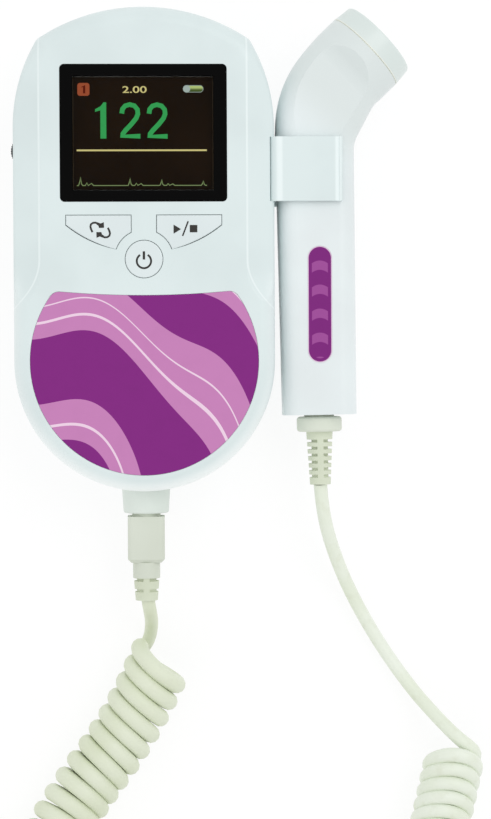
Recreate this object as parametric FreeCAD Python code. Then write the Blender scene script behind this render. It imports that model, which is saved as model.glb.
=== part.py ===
import FreeCAD, Part
import math
import os

# Pocket fetal heart detector, in millimetres. The unit lies on its back: X to the right, Y towards the top of
# the screen, Z out of the screen. The origin is the middle of the unit's back. The left side is -X.

V = FreeCAD.Vector
UP = V(0, 0, 1)
ACROSS = V(1, 0, 0)
ALONG = V(0, 1, 0)

# ---- unit case ----
bodyLength = 132.9
bodyWidth = 71.6
bodyMiddleY = -0.55
topRadius = 52.2
sideRadius = 46.9
shoulderRound = 3.0
sideTopDrop = 33.0
backRound = 6.0
frontRound = 4.4
facetRound = 1.2
wall = 2.2
rootDepth = 0.3
creaseInset = 7.5
creaseDrop = 71.9
creaseTurn = 12.0
creaseSweep = 76.0
facetAngle = 24.0
facetWidth = 10.5
creaseOverlap = 2.0
seamWidth = 0.4
seamDepth = 0.25

# ---- general clearances ----
keyGap = 0.15
runningGap = 0.05
seatGap = 0.1
looseGap = 0.3

# ---- display ----
windowWidth = 45.4
windowHeight = 37.3
windowRound = 1.3
windowThick = 1.3
windowDrop = 34.9
windowLedge = 2.4
moduleDepth = 5.1
moduleMargin = 0.9
glassThick = 0.9
bezelSide = 3.4
bezelEnd = 2.9

# ---- keys ----
keyTopDrop = 3.75
keyInnerX = 3.5
keyOuterX = 21.2
keyOuterDrop = 2.6
keyTipX = 8.2
keyTipDrop = 9.1
keyBulge = 0.9
powerDrop = 11.95
powerRadius = 5.1
powerMoat = 8.1
keyProud = 0.25
keyFlange = 0.9
keyFlangeThick = 0.8
keyTravel = 0.6
keyStem = 2.4
keyStemRise = 0.75
switchSize = 6.0
switchHeight = 1.6
switchBase = 1.0
switchDome = 1.8
membraneThick = 0.6
membraneMargin = 1.5
membraneRound = 2.0
keyRim = 0.35

# ---- front label ----
labelInset = 4.6
labelTopInset = 6.6
labelBowWidth = 0.2565
labelBowHeight = 0.528
labelTopDrop = 8.65
labelDip = 1.2
labelRound = 3.0
labelThick = 0.3

# ---- circuit board ----
boardThick = 1.6
boardWidth = 46.0
boardTopDrop = 10.9
boardBottomDrop = 11.65
boardLift = 2.6
boardEar = 12.0
postRadius = 2.2
postInset = 3.0

# ---- battery bay and door ----
cellRadius = 7.25
cellLength = 50.5
cellGap = 0.5
tubWall = 1.2
contactGap = 3.0
contactThick = 0.5
contactHalf = 5.0
contactBore = 1.6
springWide = 4.2
springNarrow = 2.4
buttonRadius = 2.0
nubRadius = 2.75
nubLength = 1.5
cellRound = 0.6
doorWidth = 35.0
doorThick = 2.0
doorTopDrop = 1.2
doorEndRise = 4.3
doorGap = 0.2
gripCount = 5
gripStart = 12.0
gripPitch = 2.2
gripRadius = 0.8
gripSink = 0.3
gripSpan = 28.0

# ---- speaker and its grille ----
speakerRadius = 14.0
speakerThick = 6.0
speakerFrame = 2.0
speakerBack = 8.0
magnetRadius = 7.0
magnetThick = 1.5
coneRim = 2.5
coneDepth = 1.2
speakerRing = 1.6
speakerRingHeight = 4.0
speakerX = 8.0
speakerRise = 1.0
grilleSlots = 7
grillePitch = 3.4
grilleSlotWidth = 1.6
grilleSlotRound = 0.75
grilleRim = 1.5

# ---- volume wheel ----
wheelRadius = 4.6
wheelThick = 2.6
wheelProud = 1.1
wheelDrop = 3.6
wheelTeeth = 24
wheelToothDepth = 0.3
wheelBore = 1.2
shaftReach = 0.6
potSize = 7.0
potRound = 0.8

# ---- case screws ----
screwInset = 9.0
screwTopDrop = 19.0
screwBottomDrop = 4.8
screwRadius = 1.25
screwHeadRadius = 2.4
screwHeadThick = 1.6
screwRecess = 4.0
screwLength = 14.0
bossRadius = 3.6
screwGrip = 0.15
driveReach = 1.7
driveHalf = 0.3
driveDepth = 0.7

# ---- probe socket and plug ----
socketRadius = 6.85
socketTipRadius = 6.3
socketReach = 6.5
socketInside = 9.0
socketSink = 1.5
socketLip = 1.2
socketFlange = 3.0
socketRim = 0.6
noseRadius = 4.0
noseLength = 8.0
noseEndGap = 1.0
noseWall = 0.9
plugLength = 12.9
plugWidth = 10.3
plugDepth = 8.6
plugRound = 1.5
plugChamfer = 0.9
plugGap = 0.9
neckWidth = 7.6
neckLength = 4.4
reliefStart = 3.6
reliefEnd = 3.1
reliefLength = 6.3
reliefSlots = 2
reliefFirst = 0.5
reliefPitch = 3.0
reliefCore = 2.75
reliefBore = 2.2
pinRadius = 0.5
pinCircle = 2.0
pinCount = 4
pinLength = 6.0
pinRoot = 0.5

# ---- probe ----
probeLift = 1.5
probeGap = 0.95
probeLeanX = 1.05
probeBottomY = -46.2
probeBendY = 27.0
probeBendRadius = 31.9
probeBendAngle = 46.0
probeNeckRun = 6.1
handleWidth = 20.4
handleDepth = 17.5
gripWidth = 21.4
gripDepthZ = 19.0
gripRound = 4.8
headDiameter = 24.7
probeWall = 1.8
headFlat = 0.6
bendSteps = 4
swellRate = 2.0
depthStart = 0.2
capHeight = 5.6
capRimRadius = 11.8
capDome = 1.2
capRound = 0.8
capSeamWidth = 0.3
capSeamDepth = 0.25
capSpigot = 3.0
capWell = 3.0
discRadius = 9.0
discThick = 2.5
discSplit = 0.4
discCut = 1.0
thumbDepth = 9.45
thumbEndBack = 2.0
thumbEndSlope = 32.0
thumbBlend = 7.0
thumbReach = 34.0
thumbHeight = 6.0

# ---- probe label and board ----
pillWidth = 6.6
pillLength = 32.0
pillY = -15.7
pillOffset = 0.3
pillThick = 0.25
pillFlat = 0.05
probeBoardWidth = 12.0
probeBoardLength = 52.0
probeBoardY = -8.0
chipWidth = 6.0
chipLength = 8.0
chipThick = 1.5
chipRound = 0.3
chipInset = 14.0
railRadius = 1.5
railRoot = 0.5
railInset = 6.0

# ---- probe clip ----
clipWall = 1.2
clipArm = 1.9
clipHeight = 17.6
clipTopDrop = 2.7
clipSeat = 1.2
clipReach = 18.7
clipRound = 2.6
clipLip = 0.5
clipGap = 0.25

# ---- probe gland and strain relief ----
glandRadius = 6.3
glandStandOff = 0.6
glandLength = 4.2
glandRound = 0.9
glandSpigot = 3.0
glandShoulder = 2.0
taperStart = 3.7
taperEnd = 2.9
taperLength = 14.8
taperSlots = 6
taperFirst = 2.6
taperPitch = 1.96
taperCore = 2.3
slotHeight = 0.8
slotWeb = 1.7

# ---- cord ----
cordRadius = 1.9
coilRadius = 9.1
coilZ = 9.15
plugLeadDrops = [(0.4, 30.6, 14.6), (1.9, 37.9, 9.2), (0.2, 46.4, 4.0)]
coilLeftStart = (4.6, 48.2)
coilLeftFar = [(-31.0, -172.9), (-24.0, -206.0), (0.0, -222.0), (28.0, -222.0)]
coilRightPoints = [(28.0, -222.0), (50.0, -222.0), (70.0, -207.0), (81.5, -176.0), (87.0, -143.5)]
probeLeadPoints = [
    (48.78, -65.75, 16.5),
    (49.4, -73.5, 15.3),
    (52.6, -84.6, 9.0),
    (58.0, -97.5, 3.9),
    (66.4, -112.4, 1.95),
    (75.9, -124.7, 2.9),
    (83.9, -133.6, 8.4),
    (89.0, -143.2, 14.6),
]

# ---- derived places ----
halfWidth = bodyWidth / 2
topEndY = bodyMiddleY + bodyLength / 2
footEndY = bodyMiddleY - bodyLength / 2
cellX = cellRadius + cellGap / 4
cellZ = doorThick + doorGap + tubWall + cellRadius
tubTopZ = cellZ + cellRadius + looseGap + tubWall
tubHalf = 2 * cellRadius + cellGap
boardBackZ = tubTopZ + boardLift
boardFaceZ = boardBackZ + boardThick
bodyDepth = boardFaceZ + moduleDepth + windowThick
seamZ = bodyDepth / 2
bottomCentreY = footEndY + halfWidth
topCentreY = topEndY - topRadius
sideCentreX = halfWidth - sideRadius
sideTopY = topEndY - sideTopDrop
creaseX = halfWidth - creaseInset
labelRadius = halfWidth - labelInset
labelTopHalf = labelRadius - labelTopInset
screwX = halfWidth - screwInset
creaseY = topEndY - creaseDrop
frontInside = bodyDepth - wall
windowY = topEndY - windowDrop
keyTopY = windowY - windowHeight / 2 - keyTopDrop
keyOuterY = keyTopY - keyOuterDrop
keyTipY = keyTopY - keyTipDrop
powerY = keyTopY - powerDrop
labelTopY = powerY - labelTopDrop
boardTop = topEndY - boardTopDrop
boardBottom = powerY - boardBottomDrop
capTopZ = bodyDepth + keyProud
flangeTopZ = frontInside - runningGap
stemZ = boardFaceZ + switchHeight + membraneThick + keyTravel + seatGap
speakerY = windowY + speakerRise
screwTopY = topEndY - screwTopDrop
screwBottomY = bottomCentreY - screwBottomDrop
socketY = footEndY
tubStartY = socketY + socketInside + looseGap
cellStartY = tubStartY + contactGap
cellEndY = cellStartY + cellLength
tubEndY = cellEndY + contactGap
doorTopY = tubEndY - doorTopDrop
doorEndY = socketY + doorEndRise
plugTopY = socketY - socketReach - plugGap
plugEndY = plugTopY - plugLength
neckEndY = plugEndY - neckLength
wheelY = windowY - wheelDrop
wheelX = -halfWidth - wheelProud + wheelRadius
insideLeft = -halfWidth + wall + looseGap
gripHalf = gripDepthZ / 2
probeTopX = halfWidth + probeGap + gripWidth / 2
probeBottomX = probeTopX + probeLeanX
pillX = (probeTopX + probeBottomX) / 2 + pillOffset
clipEndX = halfWidth + clipReach
clipTopY = sideTopY - clipTopDrop
clipBottomY = clipTopY - clipHeight
probeZ = seamZ + probeLift
handleLean = math.degrees(math.atan2(probeTopX - probeBottomX, probeBendY - probeBottomY))
bendCentre = V(probeTopX, probeBendY, probeZ) + V(
    math.cos(math.radians(handleLean)), -math.sin(math.radians(handleLean)), 0) * probeBendRadius
plugLeadPoints = [(x, socketY - drop, z) for x, drop, z in plugLeadDrops]
coilLeftPoints = [(coilLeftStart[0], socketY - coilLeftStart[1])] + coilLeftFar


# ---- helpers ----
def box(x0, y0, z0, x1, y1, z1):
    return Part.makeBox(x1 - x0, y1 - y0, z1 - z0, V(x0, y0, z0))


def rod(radius, height, x, y, z, direction=UP):
    return Part.makeCylinder(radius, height, V(x, y, z), direction)


def roundedBox(x0, y0, z0, x1, y1, z1, radius):
    solid = box(x0, y0, z0, x1, y1, z1)
    upright = [e for e in solid.Edges if abs(e.tangentAt(e.FirstParameter).z) > 0.99]
    return solid.makeFillet(radius, upright)


def circleMeet(c0, r0, c1, r1):
    gap = c1 - c0
    distance = gap.Length
    reach = (r0 ** 2 - r1 ** 2 + distance ** 2) / (2 * distance)
    height = math.sqrt(r0 ** 2 - reach ** 2)
    ahead = gap * (1 / distance)
    aside = V(ahead.y, -ahead.x, 0)
    return c0 + ahead * reach, aside * height


def arcThrough(start, middle, end):
    return Part.Arc(start, middle, end).toShape()


def onCircle(centre, radius, degrees):
    angle = math.radians(degrees)
    return centre + V(math.cos(angle), math.sin(angle), 0) * radius


def export(shape, node):
    solids = shape.Solids
    clean = solids[0] if len(solids) == 1 else Part.makeCompound(solids)
    clean.exportStep("parts/" + node + ".step")
    print("%-20s %2d solid  %9.1f mm3" % (node, len(solids), clean.Volume))


# ---- the case form, also used smaller for its hollow ----
def bodyOutline(inset):
    top = topRadius - inset
    side = sideRadius - inset
    bottom = halfWidth - inset
    topCentre = V(0, topCentreY, 0)
    sideCentre = V(sideCentreX, sideTopY, 0)
    foot, offset = circleMeet(topCentre, top, sideCentre, side)
    corner = max((foot + offset, foot - offset), key=lambda p: p.x)
    mirrored = V(-corner.x, corner.y, 0)
    cornerAngle = math.degrees(math.atan2(corner.y - sideCentre.y, corner.x - sideCentre.x))
    sideMiddle = onCircle(sideCentre, side, cornerAngle / 2)
    right = V(bottom, sideTopY, 0)
    left = V(-bottom, sideTopY, 0)
    rightFoot = V(bottom, bottomCentreY, 0)
    leftFoot = V(-bottom, bottomCentreY, 0)
    return Part.Wire([
        arcThrough(leftFoot, V(0, bottomCentreY - bottom, 0), rightFoot),
        Part.makeLine(rightFoot, right),
        arcThrough(right, sideMiddle, corner),
        arcThrough(corner, V(0, topCentreY + top, 0), mirrored),
        arcThrough(mirrored, V(-sideMiddle.x, sideMiddle.y, 0), left),
        Part.makeLine(left, leftFoot),
    ])


def facetCutter(side, inset):
    slope = math.tan(math.radians(facetAngle))
    topZ = bodyDepth - inset
    crease = creaseX - inset * math.tan(math.radians(facetAngle / 2))
    start = V(side * crease, topEndY + creaseTurn, 0)
    turn = V(side * crease, creaseY, 0)
    centre = V(side * (crease + creaseTurn), creaseY, 0)
    half = 180 + creaseSweep / 2 if side > 0 else -creaseSweep / 2
    full = 180 + creaseSweep if side > 0 else -creaseSweep
    path = Part.Wire([
        Part.makeLine(start, turn),
        arcThrough(turn, onCircle(centre, creaseTurn, half), onCircle(centre, creaseTurn, full)),
    ])
    inner = V(side * (crease - creaseOverlap), start.y, topZ + creaseOverlap * slope)
    outer = V(side * (crease + facetWidth), start.y, topZ - facetWidth * slope)
    corner = V(outer.x, start.y, inner.z)
    profile = Part.makePolygon([inner, outer, corner, inner])
    return path.makePipeShell([profile], True, False)


def bodyForm(inset):
    solid = Part.Face(bodyOutline(inset)).extrude(UP * (bodyDepth - 2 * inset))
    solid.translate(UP * inset)
    corners = [
        e for e in solid.Edges
        if e.Curve.TypeId == "Part::GeomLine" and abs(e.tangentAt(e.FirstParameter).z) > 0.99
        and e.CenterOfMass.y > sideTopY + 5
    ]
    solid = solid.makeFillet(shoulderRound, corners)
    back = [e for e in solid.Edges if e.BoundBox.ZMax < inset + 0.01]
    solid = solid.makeFillet(backRound - inset, back)
    front = [e for e in solid.Edges if e.BoundBox.ZMin > bodyDepth - inset - 0.01]
    solid = solid.makeFillet(frontRound - inset, front)
    for side in (-1, 1):
        solid = solid.cut(facetCutter(side, inset))
    return solid


def softenFacets(solid):
    edges = [
        e for e in solid.Edges
        if e.Length > 15 and e.BoundBox.ZMin > seamZ + 2 and abs(e.CenterOfMass.x) > creaseX - 2
    ]
    return solid.makeFillet(facetRound, edges)


# ---- openings that several pieces share ----
def sideKeyOutline(side, grow):
    top = keyTopY + grow
    inner = side * (keyInnerX - grow)
    outer = side * (keyOuterX + grow)
    moat = powerMoat - grow
    innerFoot = V(inner, powerY + math.sqrt(moat ** 2 - inner ** 2), 0)
    tipAngle = math.atan2(keyTipY - powerY, keyTipX)
    tip = V(side * moat * math.cos(tipAngle), powerY + moat * math.sin(tipAngle), 0)
    startAngle = math.atan2(innerFoot.y - powerY, abs(inner))
    middle = (startAngle + tipAngle) / 2
    moatMiddle = V(side * moat * math.cos(middle), powerY + moat * math.sin(middle), 0)
    outerFoot = V(outer, keyOuterY - grow, 0)
    chord = (tip + outerFoot) * 0.5
    bulge = V(chord.x, chord.y - keyBulge - grow, 0)
    return Part.Wire([
        Part.makeLine(V(inner, top, 0), innerFoot),
        arcThrough(innerFoot, moatMiddle, tip),
        arcThrough(tip, bulge, outerFoot),
        Part.makeLine(outerFoot, V(outer, top, 0)),
        Part.makeLine(V(outer, top, 0), V(inner, top, 0)),
    ])


def sideKeyPrism(side, grow, z0, z1):
    prism = Part.Face(sideKeyOutline(side, grow)).extrude(UP * (z1 - z0))
    prism.translate(UP * z0)
    return prism


def labelOutline(inset):
    radius = labelRadius - inset
    half = labelTopHalf - inset
    top = labelTopY - inset
    rise = top - bottomCentreY
    centre = V(0, bottomCentreY, 0)
    edges = [arcThrough(centre - ACROSS * radius, centre - ALONG * radius, centre + ACROSS * radius)]
    for side in (1, -1):
        foot = centre + ACROSS * side * radius
        bow = V(side * (radius - labelBowWidth * (radius - half)), bottomCentreY + labelBowHeight * rise, 0)
        edges.append(arcThrough(foot, bow, V(side * half, top, 0)))
    edges.append(arcThrough(V(half, top, 0), V(0, top - labelDip, 0), V(-half, top, 0)))
    return Part.Wire([edges[0], edges[1], edges[3], edges[2]])


def labelPrism(inset, z0, z1):
    prism = Part.Face(labelOutline(inset)).extrude(UP * (z1 - z0))
    prism.translate(UP * z0)
    corners = [
        e for e in prism.Edges
        if abs(e.tangentAt(e.FirstParameter).z) > 0.99 and e.CenterOfMass.y > labelTopY - inset - labelDip / 2
    ]
    return prism.makeFillet(labelRound, corners)


def windowPrism(grow, z0, z1, rounding):
    x = windowWidth / 2 + grow
    y = windowHeight / 2 + grow
    return roundedBox(-x, windowY - y, z0, x, windowY + y, z1, rounding)


def screwPlaces():
    return [(x, y) for x in (-screwX, screwX) for y in (screwBottomY, screwTopY)]


def boardPosts():
    x = boardWidth / 2 - postInset
    return [(-x, boardBottom + postInset), (x, boardBottom + postInset)]


def caseSpace(z0, z1):
    return box(-bodyWidth, -bodyLength, z0, bodyWidth, bodyLength, z1)


# ---- unit pieces ----
def buildCase():
    outer = softenFacets(bodyForm(0))
    hollow = bodyForm(wall)
    return outer, hollow


def wheelSlot():
    gap = looseGap
    slot = rod(wheelRadius + gap, wheelThick + 2 * gap, wheelX, wheelY, seamZ - wheelThick / 2 - gap)
    return slot


def caseSeam():
    band = caseSpace(seamZ - seamWidth / 2, seamZ + seamWidth / 2)
    return band.cut(bodyForm(seamDepth))


def clipSeatBox():
    half = gripHalf + clipGap + clipArm
    return box(halfWidth - clipSeat, clipBottomY, probeZ - half, halfWidth + 5, clipTopY, probeZ + half)


def buildFrontShell(outer, hollow):
    shell = outer.cut(hollow).common(caseSpace(seamZ, 2 * bodyDepth))
    room = bodyForm(wall - rootDepth)
    for x, y in screwPlaces():
        post = rod(bossRadius, frontInside - seamZ + 1, x, y, seamZ)
        shell = shell.fuse(post.common(room))
    for x, y in boardPosts():
        post = rod(postRadius, frontInside - boardFaceZ + 1, x, y, boardFaceZ)
        shell = shell.fuse(post.common(room))
    for x, y in screwPlaces():
        shell = shell.cut(rod(screwRadius - screwGrip, screwLength - seamZ + screwRecess + 1, x, y, seamZ - 1))
    shell = shell.cut(windowPrism(seatGap, bodyDepth - windowThick - seatGap, bodyDepth + 5, windowRound))
    shell = shell.cut(windowPrism(-windowLedge, bodyDepth - 5, bodyDepth + 5, windowRound))
    for side in (-1, 1):
        shell = shell.cut(sideKeyPrism(side, keyGap, frontInside - 1, bodyDepth + 5))
    shell = shell.cut(rod(powerRadius + keyGap, 8, 0, powerY, frontInside - 1))
    shell = shell.cut(labelPrism(-seatGap / 2, bodyDepth - labelThick, bodyDepth + 5))
    shell = shell.cut(wheelSlot())
    shell = shell.cut(socketForm())
    shell = shell.cut(clipSeatBox())
    shell = shell.cut(caseSeam())
    return shell.removeSplitter()


def doorForm(grow):
    x = doorWidth / 2 + grow
    return box(-x, doorEndY - grow, -1, x, doorTopY + grow, doorThick + grow)


def buildRearShell(outer, hollow):
    shell = outer.cut(hollow).common(caseSpace(-bodyDepth, seamZ))
    root = wall - rootDepth
    room = bodyForm(root)
    tub = box(-tubHalf - tubWall, tubStartY - tubWall, root, tubHalf + tubWall, tubEndY + tubWall, tubTopZ)
    shell = shell.fuse(tub.common(room))
    ring = rod(speakerRadius + speakerRing, speakerRingHeight, speakerX, speakerY, root)
    shell = shell.fuse(ring)
    for x, y in screwPlaces():
        shell = shell.fuse(rod(bossRadius, seamZ - root, x, y, root).common(room))
    shell = shell.fuse(rod(postRadius, boardBackZ - wall, insideLeft + potSize + postInset, wheelY, root))
    door = box(-doorWidth / 2 - doorGap, -bodyLength, -1, doorWidth / 2 + doorGap, doorTopY + doorGap, doorThick + doorGap)
    shell = shell.cut(door)
    bay = box(-tubHalf, tubStartY, doorThick, tubHalf, tubEndY, tubTopZ - tubWall)
    shell = shell.cut(bay)
    shell = shell.cut(rod(speakerRadius + seatGap, speakerThick + wall, speakerX, speakerY, wall))
    for k in range(grilleSlots):
        offset = (k - (grilleSlots - 1) / 2) * grillePitch
        half = math.sqrt((speakerRadius - grilleRim) ** 2 - offset ** 2)
        slot = roundedBox(speakerX - half, speakerY + offset - grilleSlotWidth / 2, -1,
                          speakerX + half, speakerY + offset + grilleSlotWidth / 2, wall + 1, grilleSlotRound)
        shell = shell.cut(slot)
    for x, y in screwPlaces():
        shell = shell.cut(rod(screwHeadRadius + looseGap, screwRecess, x, y, 0))
        shell = shell.cut(rod(screwRadius + seatGap, seamZ, x, y, 0))
    shell = shell.cut(wheelSlot())
    shell = shell.cut(socketForm())
    shell = shell.cut(clipSeatBox())
    shell = shell.cut(caseSeam())
    return shell.removeSplitter()


def buildDoor(outer):
    door = outer.common(doorForm(0))
    for k in range(gripCount):
        y = doorEndY + gripStart + k * gripPitch
        door = door.cut(rod(gripRadius, gripSpan, -gripSpan / 2, y, -gripSink, ACROSS))
    return door


def buildWindow():
    return windowPrism(0, bodyDepth - windowThick, bodyDepth, windowRound)


def buildModule():
    x = windowWidth / 2 - windowLedge - moduleMargin
    y = windowHeight / 2 - windowLedge - moduleMargin
    glassTop = bodyDepth - windowThick - seatGap
    glass = box(-x, windowY - y, glassTop - glassThick, x, windowY + y, glassTop)
    x += bezelSide
    y += bezelEnd
    frameTop = frontInside - seatGap
    return glass.fuse(box(-x, windowY - y, boardFaceZ, x, windowY + y, frameTop)).removeSplitter()


def buildBoard():
    x = boardWidth / 2
    board = box(-x, boardBottom, boardBackZ, x, boardTop, boardFaceZ)
    ear = box(insideLeft, wheelY - boardEar / 2, boardBackZ, -x + 1, wheelY + boardEar / 2, boardFaceZ)
    return board.fuse(ear).removeSplitter()


def keyCentres():
    side = (keyInnerX + keyOuterX) / 2
    y = (keyTopY + keyTipY) / 2 + keyStemRise
    return [(-side, y), (side, y), (0, powerY)]


def buildSwitches():
    solids = []
    half = switchSize / 2
    for x, y in keyCentres():
        base = box(x - half, y - half, boardFaceZ, x + half, y + half, boardFaceZ + switchBase)
        dome = rod(switchDome, switchHeight - switchBase, x, y, boardFaceZ + switchBase)
        solids.append(base.fuse(dome).removeSplitter())
    return Part.makeCompound(solids)


def buildMembrane():
    z = boardFaceZ + switchHeight
    low = powerY - powerRadius - keyFlange
    sheet = roundedBox(-keyOuterX, low, z, keyOuterX, keyTopY - membraneMargin, z + membraneThick, membraneRound)
    for x, y in boardPosts():
        sheet = sheet.cut(rod(postRadius + looseGap, 3 * membraneThick, x, y, z - membraneThick))
    return sheet


def buildSideKey(side):
    cap = sideKeyPrism(side, 0, frontInside - 1, capTopZ)
    rim = [e for e in cap.Edges if e.BoundBox.ZMin > capTopZ - 0.01]
    cap = cap.makeFillet(keyRim, rim)
    flange = sideKeyPrism(side, keyFlange, flangeTopZ - keyFlangeThick, flangeTopZ)
    x, y = keyCentres()[0 if side < 0 else 1]
    stem = rod(keyStem, flangeTopZ - stemZ, x, y, stemZ)
    return cap.fuse([flange, stem]).removeSplitter()


def buildPowerKey():
    cap = rod(powerRadius, capTopZ - frontInside + 1, 0, powerY, frontInside - 1)
    rim = [e for e in cap.Edges if e.BoundBox.ZMin > capTopZ - 0.01]
    cap = cap.makeFillet(keyRim, rim)
    flange = rod(powerRadius + keyFlange, keyFlangeThick, 0, powerY, flangeTopZ - keyFlangeThick)
    stem = rod(keyStem, flangeTopZ - stemZ, 0, powerY, stemZ)
    return cap.fuse([flange, stem]).removeSplitter()


def buildWheel():
    z = seamZ - wheelThick / 2
    wheel = rod(wheelRadius, wheelThick, wheelX, wheelY, z)
    for k in range(wheelTeeth):
        angle = 2 * math.pi * k / wheelTeeth
        x = wheelX + wheelRadius * math.cos(angle)
        y = wheelY + wheelRadius * math.sin(angle)
        wheel = wheel.cut(rod(wheelToothDepth, wheelThick + 2, x, y, z - 1))
    return wheel.cut(rod(wheelBore + runningGap, wheelThick + 2, wheelX, wheelY, z - 1))


def buildVolumeControl():
    top = boardBackZ
    foot = seamZ + wheelThick / 2 + seatGap
    half = potSize / 2
    body = roundedBox(insideLeft, wheelY - half, foot, insideLeft + potSize, wheelY + half, top, potRound)
    shaft = rod(wheelBore, wheelThick + 2 * shaftReach, wheelX, wheelY, foot - wheelThick - shaftReach)
    return body.fuse(shaft).removeSplitter()


def buildSpeaker():
    basketTop = wall + speakerThick - magnetThick
    foot = V(speakerX, speakerY, wall + speakerFrame)
    frame = rod(speakerRadius, speakerFrame, speakerX, speakerY, wall)
    basket = Part.makeCone(speakerRadius - 1, speakerBack, basketTop - foot.z, foot)
    magnet = rod(magnetRadius, magnetThick, speakerX, speakerY, basketTop)
    cone = Part.makeCone(speakerRadius - coneRim, speakerBack / 2, coneDepth, V(speakerX, speakerY, wall))
    return frame.fuse([basket, magnet]).cut(cone).removeSplitter()


def buildCells():
    cells = []
    for side in (-1, 1):
        x = side * cellX
        start = cellStartY if side < 0 else cellStartY + nubLength
        nub = cellEndY - nubLength if side < 0 else cellStartY
        body = rod(cellRadius, cellLength - nubLength, x, start, cellZ, ALONG)
        rims = [e for e in body.Edges if e.BoundBox.YLength < 0.01]
        body = body.makeFillet(cellRound, rims)
        cells.append(body.fuse(rod(nubRadius, nubLength, x, nub, cellZ, ALONG)).removeSplitter())
    return Part.makeCompound(cells)


def buildContacts():
    low = tubStartY + contactThick
    high = tubEndY - contactThick
    solids = []
    for side in (-1, 1):
        x = side * cellX
        for y in (tubStartY, high):
            solids.append(box(x - contactHalf, y, cellZ - contactHalf,
                              x + contactHalf, y + contactThick, cellZ + contactHalf))
    spring = Part.makeCone(springWide, springNarrow, cellStartY - low, V(-cellX, low, cellZ), ALONG)
    solids.append(spring.cut(rod(contactBore, cellStartY - low, -cellX, low, cellZ, ALONG)))
    spring = Part.makeCone(springNarrow, springWide, high - cellEndY, V(cellX, cellEndY, cellZ), ALONG)
    solids.append(spring.cut(rod(contactBore, high - cellEndY, cellX, cellEndY, cellZ, ALONG)))
    solids.append(rod(buttonRadius, high - cellEndY, -cellX, cellEndY, cellZ, ALONG))
    solids.append(rod(buttonRadius, cellStartY - low, cellX, low, cellZ, ALONG))
    return Part.makeCompound(solids)


def buildScrews():
    headZ = screwRecess - screwHeadThick
    screws = []
    for x, y in screwPlaces():
        head = rod(screwHeadRadius, screwHeadThick, x, y, headZ)
        for a, b in ((driveReach, driveHalf), (driveHalf, driveReach)):
            head = head.cut(box(x - a, y - b, headZ - 1, x + a, y + b, headZ + driveDepth))
        shank = rod(screwRadius - screwGrip, screwLength, x, y, screwRecess)
        screws.append(head.fuse(shank).removeSplitter())
    return Part.makeCompound(screws)


def socketForm():
    tip = socketY - socketReach
    barrel = Part.makeCone(socketTipRadius, socketRadius, socketReach + socketSink, V(0, tip, seamZ), ALONG)
    stub = rod(socketRadius, socketInside - socketSink, 0, socketY + socketSink, seamZ, ALONG)
    return barrel.fuse(stub)


def buildSocket(hollow):
    tip = socketY - socketReach
    body = socketForm()
    flange = rod(socketRadius + socketLip, socketInside - wall, 0, socketY + wall, seamZ, ALONG)
    flange = flange.common(hollow).common(box(-halfWidth, socketY, 0, halfWidth, socketY + wall + socketFlange,
                                              bodyDepth))
    bore = rod(noseRadius + runningGap, noseLength + 1, 0, tip - 1, seamZ, ALONG)
    body = body.fuse(flange).cut(bore)
    mouth = [e for e in body.Edges if e.BoundBox.YMax < tip + 0.01 and e.BoundBox.XMax > socketTipRadius - 0.1]
    return body.makeFillet(socketRim, mouth).removeSplitter()


def buildLabel():
    return labelPrism(seatGap / 2, bodyDepth - labelThick, bodyDepth)


def buildClip():
    x0 = halfWidth - clipSeat
    inner = x0 + clipWall
    z0 = probeZ - gripHalf - clipGap
    z1 = probeZ + gripHalf + clipGap
    block = box(x0, clipBottomY, z0 - clipArm, clipEndX, clipTopY, z1 + clipArm)
    outerEdges = [
        e for e in block.Edges
        if abs(e.tangentAt(e.FirstParameter).y) > 0.99 and e.CenterOfMass.x < x0 + 0.1
    ]
    block = block.makeFillet(clipRound, outerEdges)
    mouth = box(inner, clipBottomY - 1, z0, clipEndX + 1, clipTopY + 1, z1)
    back = [
        e for e in mouth.Edges
        if abs(e.tangentAt(e.FirstParameter).y) > 0.99 and e.CenterOfMass.x < inner + 0.1
    ]
    mouth = mouth.makeFillet(clipRound - clipWall, back)
    clip = block.cut(mouth)
    for z in (z0 - clipArm, z1 + clipArm):
        lip = rod(clipLip, clipTopY - clipBottomY, clipEndX - clipLip, clipBottomY, z, ALONG)
        clip = clip.fuse(lip)
    return clip.removeSplitter()


# ---- probe ----
def probeFrame(angle):
    turn = math.radians(angle)
    across = V(math.cos(turn), -math.sin(turn), 0)
    return bendCentre - across * probeBendRadius, across, V(math.sin(turn), math.cos(turn), 0)


def ovalSection(centre, across, width, depth, rounding):
    a = width / 2
    b = depth / 2
    r = min(rounding, a - 0.05, b - 0.05)
    c = r * math.sqrt(0.5)

    def at(u, w):
        return centre + across * u + UP * w

    edges = []
    for u, w in ((1, 1), (-1, 1), (-1, -1), (1, -1)):
        side = at(u * a, w * (b - r))
        middle = at(u * (a - r + c), w * (b - r + c))
        end = at(u * (a - r), w * b)
        if u * w > 0:
            edges.append(arcThrough(side, middle, end))
            edges.append(Part.makeLine(end, at(-u * (a - r), w * b)))
        else:
            edges.append(arcThrough(end, middle, side))
            edges.append(Part.makeLine(side, at(u * a, -w * (b - r))))
    return Part.Wire(edges)


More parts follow.
